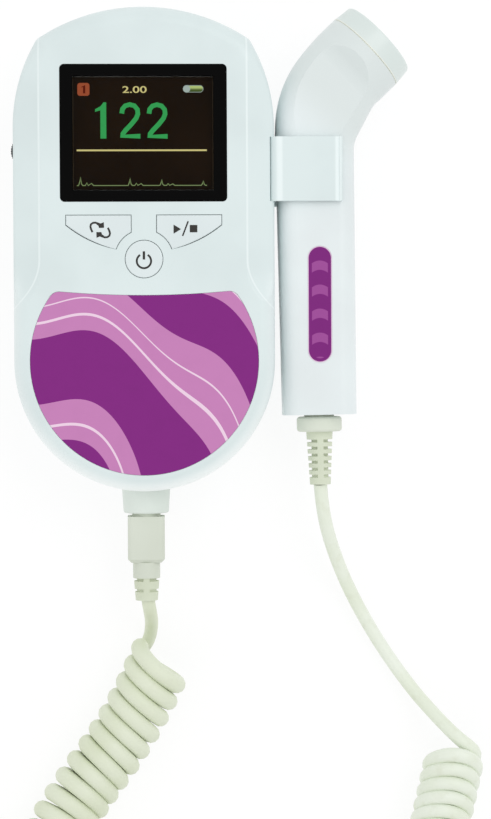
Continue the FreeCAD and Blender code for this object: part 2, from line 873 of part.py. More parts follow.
def probeForm(inset, extra):
    shrink = 2 * inset
    bend, lean, upwards = probeFrame(handleLean)
    bottom = V(probeBottomX, probeBottomY, probeZ) + upwards * inset
    foot = ovalSection(bottom, lean, handleWidth - shrink, handleDepth - shrink, gripRound - inset)
    sections = []
    for k in range(bendSteps + 1):
        share = k / bendSteps
        centre, across, ahead = probeFrame(handleLean + (probeBendAngle - handleLean) * share)
        width = gripWidth + (headDiameter - gripWidth) * min(1, swellRate * share)
        depth = gripDepthZ + (headDiameter - gripDepthZ) * max(0, share - depthStart) / (1 - depthStart)
        rounding = gripRound + (headDiameter / 2 - headFlat - gripRound) * share
        sections.append(ovalSection(centre, across, width - shrink, depth - shrink, rounding - inset))
    end = centre + ahead * (probeNeckRun + extra)
    head = headDiameter - shrink
    mouth = ovalSection(end, across, head, head, headDiameter / 2 - headFlat - inset)
    handle = Part.makeLoft([foot, sections[0]], True, True)
    elbow = Part.makeLoft(sections, True, False)
    neck = Part.makeLoft([sections[-1], mouth], True, True)
    return handle.fuse([elbow, neck]).removeSplitter(), end, ahead


def thumbCutter():
    centre, across, ahead = probeFrame(probeBendAngle)
    chord = centre - ahead * thumbEndBack + UP * thumbDepth
    start = chord - ahead * thumbReach
    slope = math.radians(thumbEndSlope)
    run = thumbBlend * math.tan(slope / 2)
    climb = ahead * math.cos(slope) + UP * math.sin(slope)
    first = chord - ahead * run
    last = chord + climb * run
    middle = first + UP * thumbBlend + (ahead * math.sin(slope / 2) - UP * math.cos(slope / 2)) * thumbBlend
    crest = chord + climb * (thumbHeight / math.sin(slope))
    back = start + UP * thumbHeight
    profile = Part.Wire([
        Part.makeLine(start, first),
        arcThrough(first, middle, last),
        Part.makeLine(last, crest),
        Part.makeLine(crest, back),
        Part.makeLine(back, start),
    ])
    aside = across * gripWidth
    return Part.Face(profile.translated(aside * -1)).extrude(aside * 2)


def probeSpace(z0, z1):
    reach = 2 * (probeBendY - probeBottomY)
    return box(probeTopX - reach, probeBottomY - reach, z0, probeTopX + reach, probeBottomY + 2 * reach, z1)


def buildProbe():
    outer, end, ahead = probeForm(0, 0)
    hollow = probeForm(probeWall, probeWall)[0]
    thumb = thumbCutter()
    backing = thumb.translated(UP * -probeWall)
    shell = outer.cut(thumb).cut(hollow.cut(backing))
    glandHole = Part.makeCylinder(glandRadius - glandShoulder, 3 * probeWall, V(0, 0, -probeWall))
    shell = shell.cut(onHandleEnd(glandHole))
    shell = shell.cut(pillForm(seatGap / 2, gripDepthZ))
    band = probeSpace(probeZ - seamWidth / 2, probeZ + seamWidth / 2)
    shell = shell.cut(band.cut(probeForm(seamDepth, seamDepth)[0]))
    front = shell.common(probeSpace(probeZ, 2 * gripDepthZ + probeZ))
    rear = shell.common(probeSpace(probeZ - 2 * gripDepthZ, probeZ))
    return front, rear, end, ahead


def pillForm(grow, height):
    x = pillWidth / 2 + grow
    y = pillLength / 2 + grow
    share = (pillY - probeBottomY) / (probeBendY - probeBottomY)
    seat = probeZ + (handleDepth + (gripDepthZ - handleDepth) * share) / 2 - pillThick
    slope = math.degrees(math.atan2((gripDepthZ - handleDepth) / 2, probeBendY - probeBottomY))
    form = roundedBox(pillX - x, pillY - y, seat, pillX + x, pillY + y, seat + height, x - pillFlat)
    form.rotate(V(pillX, pillY, seat), ACROSS, slope)
    return form


def buildPill():
    return pillForm(0, pillThick)


def placed(solid, origin, ahead):
    turn = FreeCAD.Rotation(UP, ahead)
    solid.Placement = FreeCAD.Placement(origin, turn)
    return solid


def onHandleEnd(solid):
    upwards = probeFrame(handleLean)[2]
    solid.rotate(V(0, 0, 0), ACROSS, -90)
    solid.rotate(V(0, 0, 0), UP, -math.degrees(math.atan2(upwards.x, upwards.y)))
    solid.translate(V(probeBottomX, probeBottomY, probeZ))
    return solid


def buildCap(end, ahead):
    outer = headDiameter / 2
    rim = V(capRimRadius, 0, capHeight)
    top = V(0, 0, capHeight + capDome)
    domeRadius = (capRimRadius ** 2 + capDome ** 2) / (2 * capDome)
    half = capRimRadius / 2
    middle = V(half, 0, capHeight + capDome - domeRadius + math.sqrt(domeRadius ** 2 - half ** 2))
    edges = [
        Part.makeLine(V(0, 0, 0), V(outer - capSeamDepth, 0, 0)),
        Part.makeLine(V(outer - capSeamDepth, 0, 0), V(outer - capSeamDepth, 0, capSeamWidth)),
        Part.makeLine(V(outer - capSeamDepth, 0, capSeamWidth), V(outer, 0, capSeamWidth)),
        Part.makeLine(V(outer, 0, capSeamWidth), rim),
        arcThrough(rim, middle, top),
        Part.makeLine(top, V(0, 0, 0)),
    ]
    cap = Part.Face(Part.Wire(edges)).revolve(V(0, 0, 0), UP, 360)
    cap = Part.Solid(cap) if cap.ShapeType == "Shell" else cap
    corner = [
        e for e in cap.Edges
        if abs(e.BoundBox.ZMin - capHeight) < 0.01 and abs(e.BoundBox.ZMax - capHeight) < 0.01
    ]
    cap = cap.makeFillet(capRound, corner)
    spigot = Part.makeCylinder(outer - probeWall - seatGap, capSpigot, V(0, 0, -capSpigot))
    well = Part.makeCylinder(discRadius + seatGap, capSpigot + capWell, V(0, 0, -capSpigot))
    return placed(cap.fuse(spigot).cut(well).removeSplitter(), end, ahead)


def buildDisc(end, ahead):
    foot = capWell - discThick
    disc = Part.makeCylinder(discRadius, discThick, V(0, 0, foot))
    split = Part.makeBox(discSplit, 2 * discRadius, discCut, V(-discSplit / 2, -discRadius, foot))
    return placed(disc.cut(split), end, ahead)


def buildProbeBoard():
    x = probeBoardWidth / 2
    centre = (probeTopX + probeBottomX) / 2
    z = probeZ - boardThick / 2
    y0 = probeBoardY - probeBoardLength / 2
    y1 = probeBoardY + probeBoardLength / 2
    board = box(centre - x, y0, z, centre + x, y1, z + boardThick)
    chipEnd = y1 - chipInset
    chip = roundedBox(centre - chipWidth / 2, chipEnd - chipLength, z + boardThick,
                      centre + chipWidth / 2, chipEnd, z + boardThick + chipThick, chipRound)
    floor = probeZ - gripHalf + probeWall - railRoot
    rails = [rod(railRadius, z - floor, centre, y, floor) for y in (y0 + railInset, y1 - railInset)]
    return board.fuse(chip).removeSplitter(), rails


def buildGland():
    foot = -glandStandOff - glandLength
    flange = Part.makeCylinder(glandRadius, glandLength, V(0, 0, foot))
    rims = [e for e in flange.Edges if abs(e.BoundBox.ZMax - e.BoundBox.ZMin) < 0.01]
    flange = flange.makeFillet(glandRound, rims)
    spigot = Part.makeCylinder(glandRadius - glandShoulder - seatGap, glandSpigot + glandStandOff,
                               V(0, 0, -glandStandOff))
    bore = Part.makeCylinder(cordRadius, 3 * glandLength, V(0, 0, -1.5 * glandLength))
    return onHandleEnd(flange.fuse(spigot).cut(bore).removeSplitter())


def slottedRelief(start, end, length, slots, first, pitch, core, bore):
    relief = Part.makeCone(end, start, length, V(0, 0, -length))
    inside = Part.makeCylinder(core, length, V(0, 0, -length))
    reach = 2 * start
    for k in range(slots):
        z = -first - k * pitch
        ring = box(-reach, -reach, z - slotHeight / 2, reach, reach, z + slotHeight / 2)
        web = box(-slotWeb / 2, -reach, z - slotHeight, slotWeb / 2, reach, z + slotHeight)
        relief = relief.cut(ring.cut(web).cut(inside))
    return relief.cut(Part.makeCylinder(bore, length + 2, V(0, 0, -length - 1))).removeSplitter()


def buildTaper():
    relief = slottedRelief(taperStart, taperEnd, taperLength, taperSlots, taperFirst, taperPitch, taperCore, cordRadius)
    relief.translate(UP * (-glandStandOff - glandLength))
    return onHandleEnd(relief)


# ---- plug ----
def buildPlug():
    x = plugWidth / 2
    z = plugDepth / 2
    body = box(-x, plugEndY, seamZ - z, x, plugTopY, seamZ + z)
    long = [e for e in body.Edges if abs(e.tangentAt(e.FirstParameter).y) > 0.99]
    body = body.makeFillet(plugRound, long)
    tail = [e for e in body.Edges if e.BoundBox.YMax < plugEndY + 0.01]
    body = body.makeChamfer(plugChamfer, tail)
    nose = rod(noseRadius, noseLength + plugGap - noseEndGap, 0, plugTopY, seamZ, ALONG)
    neck = rod(neckWidth / 2, neckLength, 0, neckEndY, seamZ, ALONG)
    body = body.fuse([nose, neck])
    bore = rod(noseRadius - noseWall, noseLength, 0, plugTopY + pinRoot, seamZ, ALONG)
    return body.cut(bore).removeSplitter()


def buildPins():
    pins = []
    for k in range(pinCount):
        angle = math.pi / 4 + 2 * math.pi * k / pinCount
        pins.append(rod(pinRadius, pinLength, pinCircle * math.cos(angle), plugTopY + pinRoot,
                        seamZ + pinCircle * math.sin(angle), ALONG))
    return Part.makeCompound(pins)


def buildPlugRelief():
    relief = slottedRelief(reliefStart, reliefEnd, reliefLength, reliefSlots, reliefFirst, reliefPitch, reliefCore,
                           reliefBore)
    relief.rotate(V(0, 0, 0), ACROSS, -90)
    relief.translate(V(0, neckEndY, seamZ))
    return relief


# ---- cord ----
def cordPath(points):
    corners = [V(*p) for p in points]
    edges = []
    radii = []
    start = corners[0]
    for before, corner, after in zip(corners, corners[1:], corners[2:]):
        toCorner = corner - before
        fromCorner = after - corner
        turn = toCorner.getAngle(fromCorner)
        reach = 0.45 * min(toCorner.Length, fromCorner.Length)
        radius = reach / math.tan(turn / 2)
        radii.append(round(radius, 1))
        toCorner.normalize()
        fromCorner.normalize()
        first = corner - toCorner * reach
        last = corner + fromCorner * reach
        inward = fromCorner - toCorner
        inward.normalize()
        centre = corner + inward * (radius / math.cos(turn / 2))
        middle = centre - inward * radius
        edges.append(Part.makeLine(start, first))
        edges.append(arcThrough(first, middle, last))
        start = last
    edges.append(Part.makeLine(start, corners[-1]))
    return Part.Wire(edges), radii


def cordTube(points, radius, node):
    path, radii = cordPath(points)
    direction = path.Edges[0].tangentAt(path.Edges[0].FirstParameter)
    circle = Part.Wire([Part.makeCircle(radius, V(*points[0]), direction)])
    tube = path.makePipeShell([circle], True, False)
    expected = math.pi * radius ** 2 * path.Length
    print("%s: length %.1f, volume ratio %.4f, radii %s" % (node, path.Length, tube.Volume / expected, radii))
    return tube


def atCoilHeight(points):
    return [(x, y, coilZ) for x, y in points]


def main():
    os.makedirs("parts", exist_ok=True)
    outer, hollow = buildCase()
    export(buildFrontShell(outer, hollow), "front_shell")
    export(buildRearShell(outer, hollow), "rear_shell")
    export(buildDoor(outer), "battery_door")
    export(buildWindow(), "display_window")
    export(buildModule(), "display_module")
    export(buildLabel(), "front_label")
    export(buildBoard(), "main_board")
    export(buildSwitches(), "key_switches")
    export(buildMembrane(), "key_membrane")
    export(buildSideKey(-1), "mode_button")
    export(buildSideKey(1), "play_button")
    export(buildPowerKey(), "power_button")
    export(buildWheel(), "volume_wheel")
    export(buildVolumeControl(), "volume_control")
    export(buildSpeaker(), "speaker")
    export(buildCells(), "battery_cells")
    export(buildContacts(), "battery_contacts")
    export(buildScrews(), "case_screws")
    export(buildSocket(hollow), "probe_socket")
    export(buildClip(), "probe_holder")
    front, rear, end, ahead = buildProbe()
    board, rails = buildProbeBoard()
    export(front, "probe_front_shell")
    export(rear.fuse(rails).removeSplitter(), "probe_rear_shell")
    export(buildCap(end, ahead), "probe_cap")
    export(buildDisc(end, ahead), "transducer_disc")
    export(board, "probe_board")
    export(buildPill(), "probe_label")
    export(buildGland(), "probe_gland")
    export(buildTaper(), "probe_strain_relief")
    export(buildPlug(), "plug_shell")
    export(buildPins(), "plug_pins")
    export(buildPlugRelief(), "plug_strain_relief")
    export(cordTube(plugLeadPoints, cordRadius, "plug lead"), "cord_plug_lead")
    export(cordTube(atCoilHeight(coilLeftPoints), coilRadius, "left coil"), "cord_coil_left")
    export(cordTube(atCoilHeight(coilRightPoints), coilRadius, "right coil"), "cord_coil_right")
    export(cordTube(probeLeadPoints, cordRadius, "probe lead"), "cord_probe_lead")


main()
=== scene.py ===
import bpy
import math
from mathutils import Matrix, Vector


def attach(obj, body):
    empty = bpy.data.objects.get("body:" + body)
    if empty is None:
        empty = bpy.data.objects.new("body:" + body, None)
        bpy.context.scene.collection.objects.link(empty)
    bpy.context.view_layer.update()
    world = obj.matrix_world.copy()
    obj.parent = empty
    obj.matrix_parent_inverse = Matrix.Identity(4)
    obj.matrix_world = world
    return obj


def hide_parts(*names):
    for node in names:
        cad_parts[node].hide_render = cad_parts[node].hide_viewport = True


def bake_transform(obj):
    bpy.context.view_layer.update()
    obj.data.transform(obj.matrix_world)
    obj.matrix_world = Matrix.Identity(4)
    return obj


# sizes are in millimetres and angles in degrees, unless a note says otherwise
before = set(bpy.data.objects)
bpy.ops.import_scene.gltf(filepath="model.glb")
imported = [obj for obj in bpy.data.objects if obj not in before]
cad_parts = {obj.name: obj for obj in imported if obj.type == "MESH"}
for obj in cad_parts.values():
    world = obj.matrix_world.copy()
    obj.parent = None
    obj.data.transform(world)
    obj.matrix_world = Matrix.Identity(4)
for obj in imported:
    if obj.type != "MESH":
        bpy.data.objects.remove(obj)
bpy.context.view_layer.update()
scene = bpy.context.scene
perMetre = 1000
millimetre = 1 / perMetre
black = (0, 0, 0, 1)
white = (1, 1, 1, 1)
inkThick = 0.02
roundingSteps = 4


def mm(*numbers):
    return Vector(numbers) * millimetre


def deselectAll():
    if bpy.context.mode != "OBJECT":
        bpy.ops.object.mode_set(mode="OBJECT")
    bpy.ops.object.select_all(action="DESELECT")


def choose(piece):
    deselectAll()
    piece.select_set(True)
    bpy.context.view_layer.objects.active = piece


# the lens is set so that one pixel covers mmPerPixel at the given distance
view = dict(
    place=(8.95, -34.2, 616), turn=(-1.0, -1.815, -0.28), distance=600, mmPerPixel=0.2797, frameHeight=819,
    sensor=36, nearest=50, farthest=20000)


def setCamera():
    cameraData = bpy.data.cameras.new("camera")
    cameraData.sensor_fit = "VERTICAL"
    cameraData.sensor_height = view["sensor"]
    cameraData.lens = view["sensor"] * view["distance"] / (view["frameHeight"] * view["mmPerPixel"])
    cameraData.clip_start = view["nearest"] * millimetre
    cameraData.clip_end = view["farthest"] * millimetre
    camera = bpy.data.objects.new("camera", cameraData)
    scene.collection.objects.link(camera)
    camera.location = mm(*view["place"])
    camera.rotation_euler = [math.radians(angle) for angle in view["turn"]]
    scene.camera = camera
    scene.view_settings.view_transform = "Standard"
    print("camera set")


setCamera()


# a node's output socket, on which Python's operators add Math nodes
class Signal:
    def __init__(self, net, socket):
        self.net = net
        self.socket = socket

    def __add__(self, other):
        return self.net.maths("ADD", self, other)

    def __radd__(self, other):
        return self.net.maths("ADD", other, self)

    def __sub__(self, other):
        return self.net.maths("SUBTRACT", self, other)

    def __rsub__(self, other):
        return self.net.maths("SUBTRACT", other, self)

    def __mul__(self, other):
        return self.net.maths("MULTIPLY", self, other)

    def __rmul__(self, other):
        return self.net.maths("MULTIPLY", other, self)

    def __truediv__(self, other):
        return self.net.maths("DIVIDE", self, other)

    def __gt__(self, other):
        return self.net.maths("GREATER_THAN", self, other)

    def __lt__(self, other):
        return self.net.maths("LESS_THAN", self, other)

    def __abs__(self):
        return self.net.maths("ABSOLUTE", self)


# the nodes of a material or of the world, all made by node()
class Net:
    def __init__(self, tree):
        self.tree = tree

    def feed(self, socket, value):
        if isinstance(value, Signal):
            self.tree.links.new(value.socket, socket)
        else:
            socket.default_value = value

    def node(self, kind, settings=None, inputs=None, output=0):
        made = self.tree.nodes.new(kind)
        for key, value in (settings or {}).items():
            if key == "stops":
                self.fillRamp(made.color_ramp, value)
            else:
                setattr(made, key, value)
        for key, value in (inputs or {}).items():
            self.feed(made.inputs[key], value)
        return Signal(self, made.outputs[output])

    def fillRamp(self, ramp, stops):
        ramp.interpolation = "CONSTANT"
        while len(ramp.elements) < len(stops):
            ramp.elements.new(0.5)
        for element, (position, colour) in zip(ramp.elements, stops):
            element.position = position
            element.color = colour

    def outputs(self, signal, names):
        return [Signal(self, signal.socket.node.outputs[name]) for name in names]

    def maths(self, operation, *values):
        return self.node("ShaderNodeMath", {"operation": operation}, dict(enumerate(values)))

    def mix(self, factor, first, second):    # 6, 7 and 2 are a Mix node's colour sockets
        return self.node("ShaderNodeMix", {"data_type": "RGBA"}, {0: factor, 6: first, 7: second}, 2)

    def coordinates(self):
        return self.node("ShaderNodeTexCoord", output="Object")

    def place(self, axes):
        split = self.node("ShaderNodeSeparateXYZ", inputs={0: self.coordinates()})
        return [axis * perMetre for axis in self.outputs(split, axes)]

    def away(self, centre):
        inputs = {0: self.coordinates(), 1: tuple(number / perMetre for number in centre)}
        return self.node("ShaderNodeVectorMath", {"operation": "DISTANCE"}, inputs, 1) * perMetre

    def noise(self, size, detail):
        inputs = {"Vector": self.coordinates(), "Scale": perMetre / size, "Detail": detail}
        return self.node("ShaderNodeTexNoise", inputs=inputs)

    def soft(self, signal, low, high):
        settings = {"clamp": True, "interpolation_type": "SMOOTHSTEP"}
        return self.node("ShaderNodeMapRange", settings, {0: signal, 1: low, 2: high})

    def patches(self, size, detail, low=0.35, high=0.7):
        return self.soft(self.noise(size, detail), low, high)

    def bump(self, height, depth, strength):
        inputs = {"Strength": strength, "Distance": depth * millimetre, "Height": height}
        return self.node("ShaderNodeBump", inputs=inputs)


class Look(Net):
    def __init__(self, name, **fixed):
        self.material = bpy.data.materials.new(name)
        self.material.use_nodes = True
        super().__init__(self.material.node_tree)
        self.shader = self.tree.nodes["Principled BSDF"]
        self.set(**fixed)

    def set(self, **values):
        for key, value in values.items():
            self.feed(self.shader.inputs[key.replace("_", " ")], value)


def tint(red, green, blue):    # sRGB levels from 0 to 255, made linear
    channels = [level / 255 for level in (red, green, blue)]
    return (*[c / 12.92 if c <= 0.04045 else ((c + 0.055) / 1.055) ** 2.4 for c in channels], 1)


def darker(colour, share):
    return (*[c * share for c in colour[:3]], 1)


skins = dict(
    plastic=dict(bends=1.49, cloud=28, cloudDetail=3, polish=9, uneven=0.08, grain=0.35, grainDetail=2,
                 depth=0.006, strength=0.6),
    rubber=dict(bends=1.5, cloud=14, cloudDetail=4, polish=3, uneven=0.12, grain=0.25, grainDetail=3,
                depth=0.012, strength=0.7))


# moulded skin: faint cloudiness, fine spark-eroded grain, uneven polish
# the optional function argument gives pairs of a mask and its tone; the ones passed here paint highlights and
# shade
def skinLook(kind, name, colour, shade, rough, wornAndPaintedLight=None, **changes):
    skin = {**skins[kind], **changes}
    look = Look(name, IOR=skin["bends"])
    body = look.mix(look.patches(skin["cloud"], skin["cloudDetail"]), colour, shade)
    # painted highlights and painted shade are mixed into the body colour here
    for share, tone in wornAndPaintedLight(look) if wornAndPaintedLight else []:
        body = look.mix(share, body, tone)
    grain = look.noise(skin["grain"], skin["grainDetail"])
    look.set(Base_Color=body, Roughness=rough + look.noise(skin["polish"], detail=3) * skin["uneven"],
             Normal=look.bump(grain, skin["depth"], skin["strength"]))
    return look.material


brush = dict(lines=(900, 9000, 900), tarnish=0.72, uneven=0.18, depth=0.004, strength=0.2)
metals = dict(
    spring=dict(colour=(0.68, 0.68, 0.66, 1), rough=0.22),
    screw=dict(colour=(0.55, 0.55, 0.56, 1), rough=0.32, brushed=0.3),
    pin=dict(colour=(0.83, 0.66, 0.36, 1), rough=0.2))


def metalLook(name, colour, rough, brushed=0.0):
    look = Look(name, Metallic=1.0)
    mapping = {"Vector": look.coordinates(), "Scale": brush["lines"]}
    stretched = look.node("ShaderNodeMapping", inputs=mapping)
    lines = look.node("ShaderNodeTexNoise", inputs={"Vector": stretched, "Scale": 1.0, "Detail": 3.0})
    dull = look.patches(size=4, detail=4, low=0.3, high=0.75)
    look.set(Base_Color=look.mix(dull, colour, darker(colour, brush["tarnish"])),
             Roughness=rough + lines * brush["uneven"],
             Normal=look.bump(lines, brush["depth"], brush["strength"] + brushed))
    return look.material


def finishPiece(piece, name, body, material):
    piece.name = name
    piece.data.name = name
    piece.data.materials.clear()
    piece.data.materials.append(material)
    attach(piece, body)


# colour, cloud colour and roughness
plastics = dict(
    case=(tint(222, 234, 234), tint(216, 228, 228), 0.34),
    key=(tint(223, 233, 234), tint(218, 228, 229), 0.3),
    probe=(tint(231, 239, 240), tint(226, 233, 234), 0.3),
    collar=(tint(225, 233, 226), tint(217, 226, 219), 0.42),
    plug=(tint(217, 223, 210), tint(210, 216, 202), 0.46),
    switch=(tint(44, 44, 46), tint(34, 34, 36), 0.5))
rubbers = dict(
    gland=(tint(220, 226, 212), tint(212, 218, 202), 0.5),
    relief=(tint(216, 223, 202), tint(208, 215, 192), 0.5),
    membrane=(tint(196, 199, 197), tint(184, 188, 186), 0.55))
headAxis = dict(across=0.7193, along=0.6947)    # the direction that the probe's head points in


def alongHead(look):
    x, y = look.place("XY")
    return x * headAxis["across"] + y * headAxis["along"]


# painted highlights on the case: pale lines along its creases and a paler lower rim
def casePaintedHighlights(look):
    crease = dict(middle=-0.14, aside=28.36, turn=-3.4, spread=0.04, inner=0.12, outer=0.36, low=24,
                  tone=tint(232, 242, 242))
    rim = dict(centreY=-31.2, inner=32.2, outer=35.8, side=0.35, start=-4, full=-14, tone=tint(250, 255, 255))
    x, y, z = look.place("XYZ")
    below = look.maths("MAXIMUM", crease["turn"] - y, 0.0)
    away = abs(abs(x - crease["middle"]) - (below * below * crease["spread"] + crease["aside"]))
    # painted highlight: a pale line along each crease
    rubbedAndPaintedHighlight = (1 - look.soft(away, crease["inner"], crease["outer"])) * (z > crease["low"])
    depth = look.maths("MAXIMUM", rim["centreY"] - y, 0.0)
    reach = look.maths("SQRT", x * x + depth * depth)
    lower = look.soft(depth, 0, rim["outer"]) * (1 - rim["side"]) + rim["side"]
    # painted highlight: the lower rim is painted paler
    paintedRimHighlight = look.soft(reach, rim["inner"], rim["outer"]) * lower * look.soft(y, rim["start"], rim["full"])
    return [(rubbedAndPaintedHighlight, crease["tone"]), (paintedRimHighlight, rim["tone"])]


# painted highlights: the clip's two upright edges are painted paler
def clipPaintedHighlights(look):
    clip = dict(middle=45.25, aside=8.05, inner=0.4, outer=1.2, tone=tint(236, 246, 246))
    (x,) = look.place("X")
    away = abs(abs(x - clip["middle"]) - clip["aside"])
    return [(1 - look.soft(away, clip["inner"], clip["outer"]), clip["tone"])]


# painted shade: the probe's head is painted a little greyer towards its end
def headPaintedShade(look):
    head = dict(start=52, full=66, tone=tint(220, 228, 227))
    return [(look.soft(alongHead(look), head["start"], head["full"]), head["tone"])]


# clear acrylic, printed black behind all but its middle
def windowLook():
    clear = dict(x=-0.11, y=30.95, halfWidth=19.25, halfHeight=15.6, ink=tint(2, 2, 2), rough=0.06,
                 smear=0.08)
    look = Look("windowAcrylic", IOR=1.49, Specular_IOR_Level=0.05, Base_Color=clear["ink"])
    x, y = look.place("XY")
    inside = (abs(x - clear["x"]) < clear["halfWidth"]) * (abs(y - clear["y"]) < clear["halfHeight"])
    look.set(Alpha=1 - inside, Roughness=clear["rough"] + look.noise(size=11, detail=4) * clear["smear"],
             Normal=look.bump(look.noise(size=30, detail=1), depth=0.02, strength=0.15))
    return look.material


def moduleLook():
    glass = dict(x=-0.11, y=30.95, halfWidth=19.05, halfHeight=15.4, line=0.09, low=27.9, rough=0.14,
                 frameRough=0.3, dark=tint(20, 12, 5), glow=tint(27, 17, 8), rim=tint(58, 50, 38),
                 frame=tint(150, 152, 150))
    look = Look("screenGlass", IOR=1.5, Specular_IOR_Level=0.04)
    x, y, z = look.place("XYZ")
    aside = abs(x - glass["x"]) - glass["halfWidth"]
    along = abs(y - glass["y"]) - glass["halfHeight"]
    onRim = abs(look.maths("MAXIMUM", aside, along)) < glass["line"]
    onFrame = z < glass["low"]
    glowing = look.mix(look.patches(size=22, detail=2, low=0.3, high=0.75), glass["dark"], glass["glow"])
    shade = look.mix(onRim, glowing, glass["rim"])
    look.set(Base_Color=look.mix(onFrame, shade, glass["frame"]),
             Roughness=glass["rough"] + onFrame * glass["frameRough"])
    return look.material


# plain ripple bands round a point below the label, each from its distance on
def labelLook():
    art = dict(centre=(-30, -72, 30), span=90, wave=2.4, period=0.17, phase=0.6, dark=tint(130, 36, 128),
               light=tint(199, 130, 185), pale=tint(238, 210, 230), specked=0.97, rough=0.3, uneven=0.1)
    bands = [(0, "dark"), (21, "light"), (24.6, "pale"), (25.1, "light"), (31, "dark"), (49, "light"),
             (53, "pale"), (53.5, "light"), (57.5, "pale"), (58, "light"), (63.5, "dark"), (74.5, "light"),
             (78, "pale"), (78.4, "light")]
    look = Look("labelFilm", IOR=1.5, Specular_IOR_Level=0.16)
    (x,) = look.place("X")
    ripple = look.away(art["centre"]) + look.maths("SINE", x * art["period"] + art["phase"]) * art["wave"]
    stops = [(limit / art["span"], art[ink]) for limit, ink in bands]
    colour = look.node("ShaderNodeValToRGB", {"stops": stops}, {0: ripple / art["span"]})
    specked = look.node("ShaderNodeHueSaturation", inputs={"Color": colour, "Value": art["specked"]})
    look.set(Base_Color=look.mix(look.patches(size=5, detail=4, low=0.4, high=0.8), colour, specked),
             Roughness=art["rough"] + look.noise(size=16, detail=3) * art["uneven"],
             Normal=look.bump(look.noise(size=0.5, detail=2), depth=0.003, strength=0.4))
    return look.material


# a pale border line, and bowed bars along the middle
def pillLook():
    pill = dict(x=48.28, y=-15.7, width=6.6, length=32, edge=0.06, line=0.3, bow=0.16, pitch=0.95, cut=0.35,
                margin=1.1, dark=tint(124, 34, 122), light=tint(158, 76, 152), pale=tint(228, 196, 222),
                rough=0.3, uneven=0.1)
    look = Look("pillFilm", IOR=1.5, Specular_IOR_Level=0.16)
    x, y = look.place("XY")
    beyond = look.maths("MAXIMUM", abs(y - pill["y"]) - (pill["length"] - pill["width"]) / 2, 0.0)
    across = x - pill["x"]
    reach = look.maths("SQRT", across * across + beyond * beyond)
    border = abs(reach - (pill["width"] / 2 - pill["edge"])) < pill["line"] / 2
    rise = look.maths("SINE", (y + across * across * pill["bow"]) * pill["pitch"])
    bars = (rise > pill["cut"]) * (reach < pill["width"] / 2 - pill["margin"])
    colour = look.mix(bars, pill["dark"], pill["light"])
    look.set(Base_Color=look.mix(border, colour, pill["pale"]),
             Roughness=pill["rough"] + look.noise(size=12, detail=3) * pill["uneven"])
    return look.material


# solder mask over copper tracks, with tinned pads
def boardLook():
    board = dict(pitch=3.2, gap=0.05, run=1.6, row=0.5, pad=0.12, mask=tint(24, 92, 52),
                 track=tint(46, 128, 72), tin=tint(196, 190, 160), rough=0.38, uneven=0.12)
    look = Look("solderMask", IOR=1.5)
    scaled = {"Vector": look.coordinates(), "Scale": perMetre / board["pitch"]}
    bricks = {**scaled, "Mortar Size": board["gap"], "Brick Width": board["run"], "Row Height": board["row"]}
    tracks = look.node("ShaderNodeTexBrick", inputs=bricks, output="Fac")
    pads = look.node("ShaderNodeTexVoronoi", inputs=scaled) < board["pad"]
    masked = look.mix(tracks, board["mask"], board["track"])
    look.set(Base_Color=look.mix(pads, masked, board["tin"]), Metallic=pads,
             Roughness=board["rough"] + look.noise(size=6, detail=3) * board["uneven"],
             Normal=look.bump(tracks, depth=0.03, strength=0.5))
    return look.material


# the cap's white has a thin gasket line where it meets the head
def capLook():
    cap = dict(start=82.2, end=82.76, white=tint(224, 233, 230), cloud=tint(218, 228, 225),
               gasket=tint(238, 240, 231), rough=0.32, gasketRough=0.3)
    look = Look("capPlastic", IOR=1.49)
    place = alongHead(look)
    gasket = (place > cap["start"]) * (place < cap["end"])
    plain = look.mix(look.patches(size=18, detail=3), cap["white"], cap["cloud"])
    look.set(Base_Color=look.mix(gasket, plain, cap["gasket"]),
             Roughness=cap["rough"] + gasket * cap["gasketRough"],
             Normal=look.bump(look.noise(size=0.35, detail=2), depth=0.004, strength=0.5))
    return look.material


def wheelLook():
    finish = dict(clean=tint(42, 44, 46), dusty=tint(64, 66, 67), rough=0.5, dustRough=0.1)
    look = Look("wheelPlastic", IOR=1.5)
    dust = look.patches(size=2, detail=4, low=0.45, high=0.8)
    look.set(Base_Color=look.mix(dust, finish["clean"], finish["dusty"]),
             Roughness=finish["rough"] + dust * finish["dustRough"],
             Normal=look.bump(look.noise(size=0.2, detail=3), depth=0.01, strength=0.6))
    return look.material


# pressed paper with rings round the speaker's middle
def coneLook():
    cone = dict(centre=(8, 32, 12), pitch=3.2, dark=tint(28, 28, 30), light=tint(52, 52, 55), rough=0.75,
                fibreRough=0.15, fibreHeight=0.5)
    look = Look("speakerPaper", IOR=1.45)
    rings = look.maths("SINE", look.away(cone["centre"]) * cone["pitch"])
    fibre = look.patches(size=0.8, detail=4, low=0.3, high=0.7)
    look.set(Base_Color=look.mix(fibre, cone["dark"], cone["light"]),
             Roughness=cone["rough"] + fibre * cone["fibreRough"],
             Normal=look.bump(rings + fibre * cone["fibreHeight"], depth=0.05, strength=0.6))
    return look.material


def jacketLook():
    jacket = dict(pitch=0.19, phase=1.2, cut=0.55, sleeve=tint(58, 64, 72), stripe=tint(176, 152, 92),
                  scuffed=tint(120, 122, 124), metallic=0.35, stripeMetallic=0.4, rough=0.3, scuffRough=0.25)
    look = Look("cellJacket", Coat_Weight=0.4, Coat_Roughness=0.15)
    (y,) = look.place("Y")
    stripe = look.maths("SINE", y * jacket["pitch"] + jacket["phase"]) > jacket["cut"]
    scuff = look.patches(size=3, detail=4, low=0.5, high=0.8)
    sleeve = look.mix(stripe, jacket["sleeve"], jacket["stripe"])
    look.set(Base_Color=look.mix(scuff, sleeve, jacket["scuffed"]),
             Metallic=jacket["metallic"] + stripe * jacket["stripeMetallic"],
             Roughness=jacket["rough"] + scuff * jacket["scuffRough"])
    return look.material


